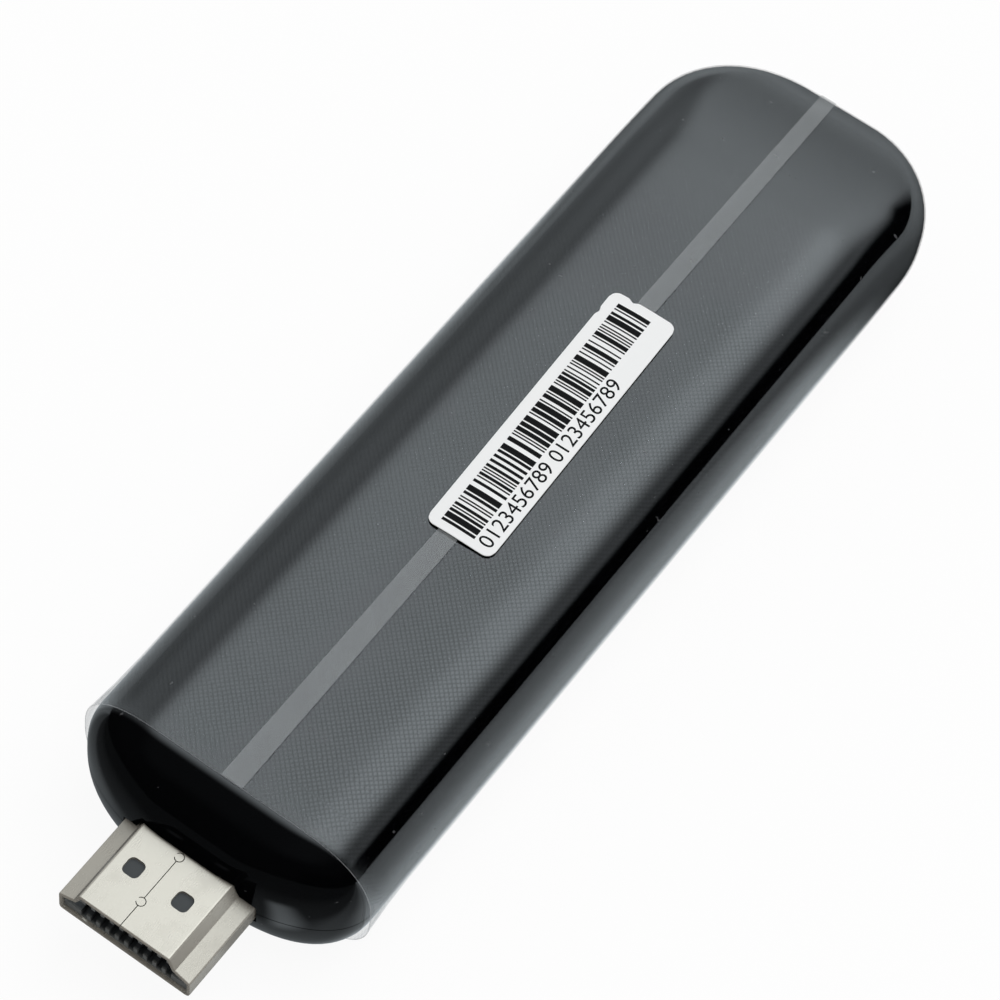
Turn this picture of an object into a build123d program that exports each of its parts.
from build123d import *
import math
import os

# Streaming stick with its plug, still wrapped in its clear film, label side up.
# Working frame: X runs along the stick from the tip of the nose (x = 0) to the far end,
# Z = 0 is the middle of the body's thickness. Everything is moved at the end, so that the
# origin is at the centre of the box's bottom. All sizes are in millimetres.

# Body shells
body_length = 104.0
body_width = 29.7
body_thickness = 15.3
edge_radius = 6.3
nose_plan_depth = 7.1
nose_plan_power = 2.2
nose_side_depth = 4.2
nose_side_power = 1.9
tail_plan_depth = 12.2
tail_plan_power = 2.1
tail_side_depth = 19.2
tail_side_power = 1.75
end_steps = 11
tip_angle = 3.0
wall = 1.4
parting_height = -0.6
seam_gap = 0.1
tongue_height = 1.0
shell_clearance = 0.05
saddle_front = 4.0
saddle_thickness = 1.2

# Clear film and label
film_front = 6.0
film_thickness = 0.1
film_gap = 0.05
film_flare = 0.35
flare_length = 7.0
flare_steps = 4
overlap_centre_y = -0.38
overlap_front_width = 2.2
overlap_far_width = 1.65
overlap_end_margin = 4.2
label_length = 30.7
label_width = 6.9
label_corner = 0.9
label_thickness = 0.12
label_x = 52.3
label_y = -0.87
label_turn = 1.7

# Plug: outline across X, as half widths and heights from its centre
plug_reach = 8.04
plug_depth = 6.8
plug_width = 13.9
plug_height = 4.45
plug_narrow_width = 9.5
plug_step_width = 10.7
plug_step_height = 0.85
plug_ledge_width = 11.8
plug_ledge_height = 0.7
plug_flange_height = 0.15
plug_corner = 0.5
plug_edge = 0.2
plug_sheet = 0.35
plug_opening_clearance = 0.15
window_length = 1.75
window_width = 1.7
window_corner = 0.45
window_setback = 4.96
window_spacing = 5.17
window_offset = 0.22
seam_y = 0.38
seam_width = 0.08
lock_radius = 0.42
lock_neck = 0.4
lock_setbacks = (2.85, 8.05)
leg_length = 3.8
leg_height = 1.1
insulator_setback = 0.35
insulator_depth = 5.5
insulator_clearance = 0.02
mouth_top = 0.7
mouth_bottom = -0.95
mouth_depth = 6.0
groove_width = 0.6
groove_top = 1.6
groove_bottom = -1.7
contact_pitch = 1.0
narrow_row_count = 9
wide_row_count = 10
contact_width = 0.4
contact_thickness = 0.2
contact_height = 1.3
contact_setback = 1.7
contact_clearance = 0.02
contact_bend = 1.2
contact_pad_length = 1.9
tail_holder_length = 1.8

# Circuit board
board_front = 7.8
board_end = 92.0
board_thickness = 1.0
board_margin = 1.1
board_screw_places = ((28.0, -9.3), (80.0, 9.3))
board_post_places = ((16.0, -9.3), (40.0, 9.3), (66.0, -9.3), (86.0, -6.0))
post_diameter = 3.0
boss_diameter = 3.8
screw_diameter = 1.6
screw_length = 5.0
screw_head_diameter = 3.0
screw_head_height = 0.9
screw_socket_diameter = 1.2
screw_socket_depth = 0.45
screw_clearance = 0.05
board_hole_diameter = 1.9

# Chips and heat path
processor_size = (15.0, 15.0, 1.3)
processor_x = 47.5
memory_size = (8.0, 10.0, 1.0)
memory_x = 62.5
memory_spacing = 10.6
shield_length = 33.0
shield_width = 22.0
shield_height = 3.0
shield_x = 54.0
shield_sheet = 0.2
shield_lid_skirt = 1.6
shield_clearance = 0.02
lower_pad_size = 13.0
upper_pad_length = 26.0
upper_pad_width = 14.0
spreader_length = 36.0
spreader_width = 16.0
spreader_thickness = 1.2
spreader_corner = 1.5
stake_diameter = 1.5
stake_clearance = 0.1
stake_height = 0.6
stake_inset = 2.2
flash_size = (13.0, 11.5, 1.0)
flash_x = 52.0
power_chip_size = (5.0, 5.0, 0.85)
power_chip_place = (24.5, 3.0)
inductor_size = (4.0, 4.0, 2.0)
inductor_places = ((17.0, -3.5), (23.0, -4.0), (33.5, -3.0))
capacitor_size = (3.2, 1.6, 1.6)
capacitor_places = ((17.0, 3.0), (17.0, 6.0), (31.0, 3.0), (31.0, 6.0), (38.0, 0.0), (38.0, 3.0))
crystal_size = (3.2, 2.5, 0.7)
crystal_places = ((63.0, 4.5), (74.0, -4.5))
passive_size = (1.0, 0.5, 0.5)
passive_rows = 6
passive_columns = 4
passive_start = (67.0, -3.0)
passive_pitch = (2.2, 1.9)
radio_size = (12.0, 12.0, 1.7)
radio_x = 77.0
antenna_x = 88.0
antenna_y = 6.5
antenna_length = 5.5
antenna_width = 8.5
antenna_height = 3.4
antenna_sheet = 0.3
antenna_leg = 1.2

# Power port, a five-way micro receptacle in the +Y side
port_x = 19.5
port_width = 7.5
port_height = 2.5
port_chamfer = 0.7
port_depth = 5.0
port_recess = 0.6
port_sheet = 0.25
port_clearance = 0.15
port_block = 1.2
port_tongue_width = 3.8
port_tongue_thickness = 0.6
port_tongue_reach = 3.2
port_contact_count = 5
port_contact_pitch = 0.65
port_contact_width = 0.35
port_contact_thickness = 0.12

# Reset button, its switch, and the status light, in the +Y side
face_recess = 0.12
button_x = 28.5
button_diameter = 3.2
button_clearance = 0.1
button_flange_length = 5.4
button_flange_height = 3.0
button_flange_thickness = 0.5
button_rest_gap = 0.06
button_travel = 0.25
switch_length = 4.7
switch_depth = 3.5
switch_height = 1.65
switch_frame_sheet = 0.2
plunger_length = 2.4
plunger_height = 0.8
plunger_clearance = 0.05
plunger_depth = 1.1
dome_diameter = 1.1
dome_thickness = 0.1
dome_rise = 0.25
light_x = 34.5
light_size = (1.6, 0.9, 0.7)
pipe_diameter = 1.4
pipe_flange_diameter = 2.2
pipe_flange_thickness = 0.4
pipe_clearance = 0.03
pipe_gap = 0.1

# Values that follow from the sizes above
half_width = body_width / 2
half_thickness = body_thickness / 2
corner = min(edge_radius, 0.47 * body_thickness)
board_top = board_thickness / 2
board_edge = half_width - wall - board_margin
ceiling = half_thickness - wall
film_outside = film_gap + film_thickness
film_top = half_thickness + film_outside
plug_tip = -plug_reach
beyond = 1.0
tail_start = body_length - max(tail_plan_depth, tail_side_depth)
nose_end = max(nose_plan_depth, nose_side_depth)
button_z = board_top + switch_height / 2


def block(x0, x1, y0, y1, z0, z1):
    """Box between two corners."""
    size = Box(x1 - x0, y1 - y0, z1 - z0)
    return Pos((x0 + x1) / 2, (y0 + y1) / 2, (z0 + z1) / 2) * size


def across(z0, z1):
    """Everything of the stick between two heights."""
    return block(-2 * plug_reach, body_length + wall, -body_width, body_width, z0, z1)


def rod(x, y, z0, z1, diameter):
    """Upright cylinder between two heights."""
    return Pos(x, y, (z0 + z1) / 2) * Cylinder(diameter / 2, z1 - z0)


def side_rod(x, z, y0, y1, diameter):
    """Cylinder that lies along Y."""
    return Pos(x, (y0 + y1) / 2, z) * Rot(90, 0, 0) * Cylinder(diameter / 2, y1 - y0)


def share_left(distance, depth, power):
    """Share of the full size that a rounded end leaves at a distance from its tip."""
    if distance >= depth:
        return 1.0
    return (1.0 - (1.0 - distance / depth) ** power) ** (1.0 / power)


def ring(x, inset, width_share=1.0, height_share=1.0, widen=0.0):
    """Rounded rectangle across the body at x, this far inside the outside of the shells."""
    width = 2 * (half_width - inset) * width_share + 2 * widen
    height = 2 * (half_thickness - inset) * height_share
    return Plane.YZ.offset(x) * RectangleRounded(width, height, (corner - inset) * height_share)


def end_distances(depth):
    """Distances of an end's sections from its tip, closer together towards the tip."""
    turns = [tip_angle + (90.0 - tip_angle) * step / end_steps for step in range(end_steps + 1)]
    return [depth * (1.0 - math.cos(math.radians(turn))) for turn in turns]


def nose_solid(inset):
    """Rounded end that the plug comes out of."""
    sections = []
    for away in end_distances(nose_end - inset):
        width_share = share_left(away, nose_plan_depth - inset, nose_plan_power)
        height_share = share_left(away, nose_side_depth - inset, nose_side_power)
        sections.append(ring(inset + away, inset, width_share, height_share))
    return loft(sections, ruled=True)


def tail_solid(inset):
    """Rounded far end, which thins over a longer stretch than it narrows."""
    sections = []
    for away in reversed(end_distances(body_length - tail_start - inset)):
        width_share = share_left(away, tail_plan_depth - inset, tail_plan_power)
        height_share = share_left(away, tail_side_depth - inset, tail_side_power)
        sections.append(ring(body_length - inset - away, inset, width_share, height_share))
    return loft(sections, ruled=True)


def pillow(inset):
    """The body's whole outside form, drawn this far inside it."""
    middle = extrude(ring(nose_end, inset), tail_start - nose_end)
    return nose_solid(inset) + middle + tail_solid(inset)


def sleeve(inset):
    """Form of the film: open and slightly flared at the nose, closed over the far end."""
    flare_end = film_front + flare_length
    sections = []
    for step in range(flare_steps + 1):
        along = step / flare_steps
        widen = film_flare * (1.0 - along) ** 2
        sections.append(ring(film_front + along * flare_length, inset, widen=widen))
    middle = extrude(ring(flare_end, inset), tail_start - flare_end)
    return loft(sections, ruled=True) + middle + tail_solid(inset)


def plug_outline(grow):
    """Outline of the plug across X, narrow side up, grown or shrunk evenly."""
    top = plug_height / 2
    right = [
        (plug_narrow_width / 2, top),
        (plug_step_width / 2, plug_step_height),
        (plug_ledge_width / 2, plug_ledge_height),
        (plug_width / 2, plug_flange_height),
        (plug_width / 2, -top),
    ]
    left = [(-y, z) for y, z in reversed(right)]
    outline = make_face(Polyline(*right, *left, close=True))
    if grow:
        outline = offset(outline, amount=grow, kind=Kind.INTERSECTION)
    lowest = outline.bounding_box().min.Y
    low_corners = [v for v in outline.vertices() if v.Y < lowest + plug_sheet / 2]
    outline = fillet(low_corners, max(plug_corner + grow, plug_edge / 2))
    others = [v for v in outline.vertices() if v.Y > plug_flange_height - plug_sheet]
    return fillet(others, plug_edge / 2)


def plug_prism(x0, x1, grow=0.0):
    """The plug's outline from one x to another."""
    return extrude(Plane.YZ.offset(x0) * plug_outline(grow), x1 - x0)


def spread(count, pitch):
    """Evenly spaced places about zero."""
    return [pitch * (index - (count - 1) / 2) for index in range(count)]


def chip(size, x, y, side, edge=0.1):
    """Flat component on the board's top (side 1) or underside (side -1)."""
    length, width, height = size
    body = Box(length, width, height)
    far_face = body.faces().sort_by(Axis.Z)[-1 if side > 0 else 0]
    body = chamfer(far_face.edges(), edge)
    return Pos(x, y, side * (board_top + height / 2)) * body


def group(pieces):
    """Like pieces that share a node, as separate solids."""
    return Compound([solid for piece in pieces for solid in piece.solids()])


# Body shells

outside = pillow(0.0)
cavity = pillow(wall)
mid_wall = pillow(wall / 2)
side_faces_limit = pillow(face_recess)
plug_opening = plug_prism(plug_tip, board_front, plug_opening_clearance)
tongue_bottom = parting_height - tongue_height
port_mouth = half_width - port_recess
wall_inside = half_width - wall
flange_outside = wall_inside - button_rest_gap


def port_hole():
    """Hole in the side for the power port."""
    low = board_top - port_clearance
    high = board_top + port_height + port_clearance
    reach = port_width / 2 + port_clearance
    return block(port_x - reach, port_x + reach, board_edge, half_width + beyond, low, high)


def button_hole():
    """Round hole for the button, with a flat pocket for its flange on the inside."""
    hole = side_rod(button_x, button_z, board_edge, half_width + beyond,
                    button_diameter + 2 * button_clearance)
    reach = button_flange_length / 2 + button_clearance
    rise = button_flange_height / 2 + button_clearance
    pocket = block(button_x - reach, button_x + reach, board_edge, wall_inside,
                   button_z - rise, button_z + rise)
    return hole + pocket


def light_hole():
    """Stepped hole for the light pipe and its flange."""
    z = board_top + light_size[2] / 2
    hole = side_rod(light_x, z, board_edge, half_width + beyond,
                    pipe_diameter + 2 * pipe_clearance)
    seat = side_rod(light_x, z, board_edge, wall_inside, pipe_flange_diameter + 2 * pipe_clearance)
    return hole + seat


def stake_places():
    """Centres of the four pins that hold the heat spreader."""
    along = spreader_length / 2 - stake_inset
    aside = spreader_width / 2 - stake_inset
    return [(shield_x + sx * along, sy * aside) for sx in (-1, 1) for sy in (-1, 1)]


def saddle(z0, z1):
    """Rib across the cavity that carries the plug."""
    return block(saddle_front, saddle_front + saddle_thickness, -half_width, half_width, z0, z1)


def make_label_side_shell():
    """Deep shell with the board's bosses, the port, the button hole and a tongue at its rim."""
    body = outside & across(parting_height, half_thickness + beyond)
    body += pillow(wall / 2 + shell_clearance) & across(tongue_bottom, parting_height)
    kept = [saddle(parting_height, half_thickness)]
    for x, y in board_screw_places:
        kept.append(rod(x, y, board_top, half_thickness, boss_diameter))
    for x, y in stake_places():
        low = ceiling - spreader_thickness - stake_height
        kept.append(rod(x, y, low, half_thickness, stake_diameter))
    cuts = [cavity - kept, plug_opening, port_hole(), button_hole(), light_hole()]
    for x, y in board_screw_places:
        pilot = screw_diameter + 2 * screw_clearance
        cuts.append(rod(x, y, board_top - beyond, board_top + screw_length, pilot))
    return body - cuts


def make_logo_side_shell():
    """Shallow shell that closes the body, with posts under the board."""
    rim = parting_height - seam_gap
    body = outside & across(-half_thickness - beyond, rim)
    kept = [saddle(-half_thickness, rim)]
    for x, y in board_post_places:
        kept.append(rod(x, y, -half_thickness, -board_top, post_diameter))
    rebate = (mid_wall & across(tongue_bottom - shell_clearance, parting_height)) - cavity
    return body - [cavity - kept, rebate, plug_opening]


# Plug

def lock_cut(x):
    """Slit round one interlocking tab of the seam."""
    slit = Circle(lock_radius + seam_width / 2) - Circle(lock_radius - seam_width / 2)
    neck = Pos(0, lock_radius) * Rectangle(lock_neck, lock_radius)
    return Pos(x, seam_y, plug_height / 2 - plug_sheet - beyond) * extrude(slit - neck, 2 * beyond)


def make_plug_shell():
    """Folded metal shell with four windows, a closed seam and two solder legs."""
    shell = plug_prism(plug_tip, plug_depth)
    cuts = [plug_prism(plug_tip - beyond, plug_depth + beyond, -plug_sheet)]
    window = extrude(RectangleRounded(window_length, window_width, window_corner),
                     plug_height, both=True)
    for y in spread(2, window_spacing):
        cuts.append(Pos(plug_tip + window_setback, y + window_offset, 0) * window)
    low = plug_height / 2 - plug_sheet - beyond
    slit = block(plug_tip - beyond, plug_depth + beyond, seam_y - seam_width / 2,
                 seam_y + seam_width / 2, low, plug_height)
    for setback in lock_setbacks:
        x = plug_tip + setback
        slit -= rod(x, seam_y, low - beyond, plug_height + beyond, 2 * lock_radius)
        cuts.append(lock_cut(x))
    shell -= cuts + [slit]
    for side in (-1, 1):
        inner = side * (plug_width / 2 - plug_sheet)
        low_y, high_y = sorted((inner, side * plug_width / 2))
        shell += block(plug_depth - plug_sheet, plug_depth + leg_length, low_y, high_y,
                       -board_top - leg_height, -board_top)
    return shell


def contact_channels(x0, x1):
    """Channels for the contacts through a moulding."""
    channels = []
    reach = contact_width / 2 + contact_clearance
    rise = contact_thickness / 2 + contact_clearance
    for count, side in ((narrow_row_count, 1), (wide_row_count, -1)):
        z = side * contact_height
        for y in spread(count, contact_pitch):
            channels.append(block(x0, x1, y - reach, y + reach, z - rise, z + rise))
    return channels


def make_plug_insulator():
    """Front moulding: a mouth between two lips, with a groove for each contact."""
    front = plug_tip + insulator_setback
    back = front + mouth_depth
    body = plug_prism(front, insulator_depth, -plug_sheet - insulator_clearance)
    cuts = [block(front - beyond, back, -plug_width, plug_width, mouth_bottom, mouth_top)]
    for y in spread(narrow_row_count, contact_pitch):
        cuts.append(block(front - beyond, back, y - groove_width / 2, y + groove_width / 2,
                          0, groove_top))
    for y in spread(wide_row_count, contact_pitch):
        cuts.append(block(front - beyond, back, y - groove_width / 2, y + groove_width / 2,
                          groove_bottom, 0))
    return body - cuts - contact_channels(back - beyond, insulator_depth + beyond)


def make_tail_holder():
    """Rear moulding that lines the contacts' tails up with the board."""
    start = insulator_depth + insulator_clearance
    end = start + tail_holder_length
    body = plug_prism(start, end, -plug_sheet - insulator_clearance)
    return body - contact_channels(start - beyond, end + beyond)


def make_contacts(count, side):
    """A row of contacts: straight in the mouldings, then down onto the board."""
    start = plug_tip + contact_setback
    bend = insulator_depth + insulator_clearance + tail_holder_length
    land = bend + contact_bend
    end = land + contact_pad_length
    half = contact_thickness / 2
    on_board = board_top + half
    line = [(start, contact_height), (bend, contact_height), (land, on_board), (end, on_board)]
    over = [(x, side * (z + half)) for x, z in line]
    under = [(x, side * (z - half)) for x, z in reversed(line)]
    outline = make_face(Polyline(*over, *under, close=True))
    strip = extrude(Plane.XZ * outline, contact_width / 2, both=True)
    return group(Pos(0, y, 0) * strip for y in spread(count, contact_pitch))


# Board and what is on it

def make_circuit_board():
    """Board that follows the cavity's outline, with two screw holes."""
    board = pillow(wall + board_margin) & block(board_front, board_end, -half_width, half_width,
                                                -board_top, board_top)
    for x, y in board_screw_places:
        board -= rod(x, y, -beyond, beyond, board_hole_diameter)
    return board


def make_board_screws():
    """Two small screws, from under the board up into the bosses."""
    screws = []
    under = -board_top
    for x, y in board_screw_places:
        screw = rod(x, y, under, under + screw_length, screw_diameter)
        screw += rod(x, y, under - screw_head_height, under, screw_head_diameter)
        screw -= rod(x, y, under - screw_head_height - beyond,
                     under - screw_head_height + screw_socket_depth, screw_socket_diameter)
        screws.append(screw)
    return group(screws)


def make_shield_frame():
    """Soldered fence round the processor and memory."""
    length, width = shield_length, shield_width
    outer = Pos(shield_x, 0, board_top + shield_height / 2) * Box(length, width, shield_height)
    inner = Pos(shield_x, 0, board_top + shield_height / 2) * Box(
        length - 2 * shield_sheet, width - 2 * shield_sheet, shield_height + beyond)
    return outer - inner


def make_shield_lid():
    """Lid that clips over the fence."""
    grow = shield_clearance + shield_sheet
    base = board_top + shield_height
    length, width = shield_length + 2 * grow, shield_width + 2 * grow
    height = shield_lid_skirt + shield_sheet
    outer = Pos(shield_x, 0, base + shield_sheet - height / 2) * Box(length, width, height)
    inner = Pos(shield_x, 0, base - height / 2) * Box(
        length - 2 * shield_sheet, width - 2 * shield_sheet, height)
    return outer - inner


def make_lower_pad():
    """Soft pad from the processor to the shield lid."""
    low = board_top + processor_size[2]
    high = board_top + shield_height
    reach = lower_pad_size / 2
    return block(processor_x - reach, processor_x + reach, -reach, reach, low, high)


def make_upper_pad():
    """Soft pad from the shield lid to the heat spreader."""
    low = board_top + shield_height + shield_sheet
    high = ceiling - spreader_thickness
    reach, aside = upper_pad_length / 2, upper_pad_width / 2
    return block(shield_x - reach, shield_x + reach, -aside, aside, low, high)


def make_heat_spreader():
    """Plate against the inside of the label side, held by four pins."""
    plate = extrude(RectangleRounded(spreader_length, spreader_width, spreader_corner),
                    spreader_thickness)
    plate = Pos(shield_x, 0, ceiling - spreader_thickness) * plate
    for x, y in stake_places():
        plate -= rod(x, y, 0, ceiling + beyond, stake_diameter + 2 * stake_clearance)
    return plate


def make_memory_chips():
    """Two memory chips side by side."""
    return group(chip(memory_size, memory_x, y, 1) for y in spread(2, memory_spacing))


def make_passives():
    """Grid of small chip resistors and capacitors under the board."""
    places = []
    for row in range(passive_rows):
        for column in range(passive_columns):
            x = passive_start[0] + row * passive_pitch[0]
            places.append((x, passive_start[1] + column * passive_pitch[1]))
    return group(chip(passive_size, x, y + passive_pitch[1], -1, 0.05) for x, y in places)


def make_antenna(side):
    """Bent sheet antenna on two legs at the far end of the board."""
    x0, x1 = antenna_x - antenna_length / 2, antenna_x + antenna_length / 2
    y0, y1 = side * antenna_y - antenna_width / 2, side * antenna_y + antenna_width / 2
    top = board_top + antenna_height
    sheet = block(x0, x1, y0, y1, top - antenna_sheet, top)
    sheet += block(x0, x0 + antenna_sheet, y0, y0 + antenna_leg, board_top, top)
    sheet += block(x0, x0 + antenna_sheet, y1 - antenna_leg, y1, board_top, top)
    return sheet


# Power port

def port_outline(shrink):
    """Outline of the receptacle across Y: a rectangle with its two top corners cut."""
    reach = port_width / 2 - shrink
    low, high = board_top + shrink, board_top + port_height - shrink
    cut = port_chamfer
    points = [(port_x - reach, low), (port_x + reach, low), (port_x + reach, high - cut),
              (port_x + reach - cut, high), (port_x - reach + cut, high),
              (port_x - reach, high - cut)]
    return make_face(Polyline(*points, close=True))


def port_prism(y0, y1, shrink=0.0):
    """The receptacle's outline from one y to another."""
    return extrude(Plane.XZ.offset(-y1) * port_outline(shrink), y1 - y0)


def port_blade():
    """Limits of the tongue: back, front, low and high."""
    back = port_mouth - port_depth + port_block
    middle = board_top + port_height / 2
    low = middle - port_tongue_thickness / 2
    return back, back + port_tongue_reach, low, low + port_tongue_thickness


def make_port_shell():
    """Metal shell of the power port."""
    back = port_mouth - port_depth
    return port_prism(back, port_mouth) - port_prism(back - beyond, port_mouth + beyond, port_sheet)


def make_port_tongue():
    """Moulding at the back of the port, with the tongue that carries the contacts."""
    back, front, low, high = port_blade()
    body = port_prism(port_mouth - port_depth, back, port_sheet + insulator_clearance)
    reach = port_tongue_width / 2
    return body + block(port_x - reach, port_x + reach, back, front, low, high)


def make_port_contacts():
    """Five flat contacts under the tongue."""
    back, front, low, high = port_blade()
    reach = port_contact_width / 2
    strips = [block(port_x + x - reach, port_x + x + reach, back, front - port_contact_width,
                    low - port_contact_thickness, low)
              for x in spread(port_contact_count, port_contact_pitch)]
    return group(strips)


# Reset button and status light

def make_button_cap():
    """Cap in the side wall: its face follows the wall, and a flange keeps it in."""
    cap = side_rod(button_x, button_z, flange_outside, half_width, button_diameter)
    cap = cap & side_faces_limit
    reach, rise = button_flange_length / 2, button_flange_height / 2
    flange = block(button_x - reach, button_x + reach,
                   flange_outside - button_flange_thickness, flange_outside,
                   button_z - rise, button_z + rise)
    return cap + flange


def plunger_limits():
    """Tip and root of the switch's plunger at rest."""
    tip = flange_outside - button_flange_thickness
    return tip, board_edge - plunger_depth


def make_switch_plunger():
    """Slide of the switch, from the button's flange into the switch."""
    tip, root = plunger_limits()
    return block(button_x - plunger_length / 2, button_x + plunger_length / 2, root, tip,
                 button_z - plunger_height / 2, button_z + plunger_height / 2)


def make_switch_body():
    """Moulded body of the switch at the board's edge, open for its plunger and dome."""
    back = board_edge - switch_depth
    inner_length = switch_length - 2 * switch_frame_sheet
    body = block(button_x - inner_length / 2, button_x + inner_length / 2, back, board_edge,
                 board_top, board_top + switch_height - switch_frame_sheet)
    tip, root = plunger_limits()
    reach = plunger_length / 2 + plunger_clearance
    rise = plunger_height / 2 + plunger_clearance
    dome_back = root - button_travel - plunger_clearance - dome_rise - dome_thickness
    body -= block(button_x - reach, button_x + reach, dome_back, board_edge + beyond,
                  button_z - rise, button_z + rise)
    return body


def make_switch_dome():
    """Snap dome behind the plunger, drawn as it lies when pressed."""
    tip, root = plunger_limits()
    front = root - button_travel - plunger_clearance
    height = plunger_height + plunger_clearance
    dome = block(button_x - dome_diameter, button_x + dome_diameter, front - dome_thickness, front,
                 button_z - height / 2, button_z + height / 2)
    for side in (-1, 1):
        x0, x1 = sorted((button_x + side * dome_diameter,
                         button_x + side * (dome_diameter - dome_thickness)))
        dome += block(x0, x1, front - dome_thickness - dome_rise, front,
                      button_z - height / 2, button_z + height / 2)
    return dome


def make_switch_frame():
    """Folded metal cover over the switch, open at the plunger."""
    back = board_edge - switch_depth
    outer = block(button_x - switch_length / 2, button_x + switch_length / 2, back, board_edge,
                  board_top, board_top + switch_height)
    inner_length = switch_length - 2 * switch_frame_sheet
    inner = block(button_x - inner_length / 2, button_x + inner_length / 2, back - beyond,
                  board_edge + beyond, board_top - beyond,
                  board_top + switch_height - switch_frame_sheet)
    return outer - inner


def make_status_light():
    """Small side-firing light at the board's edge."""
    length, depth, height = light_size
    return block(light_x - length / 2, light_x + length / 2, board_edge - depth, board_edge,
                 board_top, board_top + height)


def make_light_pipe():
    """Clear pipe from the light to the outside of the wall."""
    z = board_top + light_size[2] / 2
    start = board_edge + pipe_gap
    pipe = side_rod(light_x, z, start, half_width, pipe_diameter) & side_faces_limit
    flange_back = wall_inside - pipe_flange_thickness
    return pipe + side_rod(light_x, z, flange_back, wall_inside, pipe_flange_diameter)


# Film and label

def overlap_plan():
    """Plan of the strip where the film overlaps itself, wider at the nose."""
    end = body_length - overlap_end_margin
    near, far = overlap_front_width / 2, overlap_far_width / 2
    y = overlap_centre_y
    points = [(film_front, y - near), (end, y - far), (end, y + far), (film_front, y + near)]
    return extrude(make_face(Polyline(*points, close=True)), 2 * half_thickness)


def make_protective_film():
    """Clear film round the body, doubled along the strip on the label side."""
    doubled = sleeve(-film_outside - film_thickness) & overlap_plan()
    return sleeve(-film_outside) + doubled - sleeve(-film_gap)


def make_barcode_label(film):
    """Paper label stuck over the film and its overlap."""
    plan = RectangleRounded(label_length, label_width, label_corner)
    label = extrude(plan, film_thickness + label_thickness)
    label = Pos(label_x, label_y, film_top) * Rot(0, 0, label_turn) * label
    return label - film


protective_film = make_protective_film()

pieces = {
    "label_side_shell": make_label_side_shell(),
    "logo_side_shell": make_logo_side_shell(),
    "protective_film": protective_film,
    "barcode_label": make_barcode_label(protective_film),
    "plug_shell": make_plug_shell(),
    "plug_insulator": make_plug_insulator(),
    "plug_tail_holder": make_tail_holder(),
    "plug_contacts_narrow_side": make_contacts(narrow_row_count, 1),
    "plug_contacts_wide_side": make_contacts(wide_row_count, -1),
    "circuit_board": make_circuit_board(),
    "board_screws": make_board_screws(),
    "main_processor": chip(processor_size, processor_x, 0, 1),
    "memory_chips": make_memory_chips(),
    "shield_frame": make_shield_frame(),
    "shield_lid": make_shield_lid(),
    "lower_thermal_pad": make_lower_pad(),
    "upper_thermal_pad": make_upper_pad(),
    "heat_spreader": make_heat_spreader(),
    "flash_memory": chip(flash_size, flash_x, 0, -1),
    "power_chip": chip(power_chip_size, *power_chip_place, -1),
    "power_inductors": group(chip(inductor_size, x, y, -1, 0.3) for x, y in inductor_places),
    "bulk_capacitors": group(chip(capacitor_size, x, y, -1) for x, y in capacitor_places),
    "crystals": group(chip(crystal_size, x, y, -1) for x, y in crystal_places),
    "chip_passives": make_passives(),
    "radio_module": chip(radio_size, radio_x, 0, 1),
    "left_antenna": make_antenna(1),
    "right_antenna": make_antenna(-1),
    "port_shell": make_port_shell(),
    "port_tongue": make_port_tongue(),
    "port_contacts": make_port_contacts(),
    "reset_button_cap": make_button_cap(),
    "switch_plunger": make_switch_plunger(),
    "switch_body": make_switch_body(),
    "switch_dome": make_switch_dome(),
    "switch_frame": make_switch_frame(),
    "status_light": make_status_light(),
    "light_pipe": make_light_pipe(),
}

length_box = protective_film.bounding_box()
middle_x = (plug_tip + length_box.max.X) / 2
to_row_frame = Pos(-middle_x, 0, -length_box.min.Z)

os.makedirs("parts", exist_ok=True)
for node, piece in pieces.items():
    export_step(to_row_frame * piece, f"parts/{node}.step")
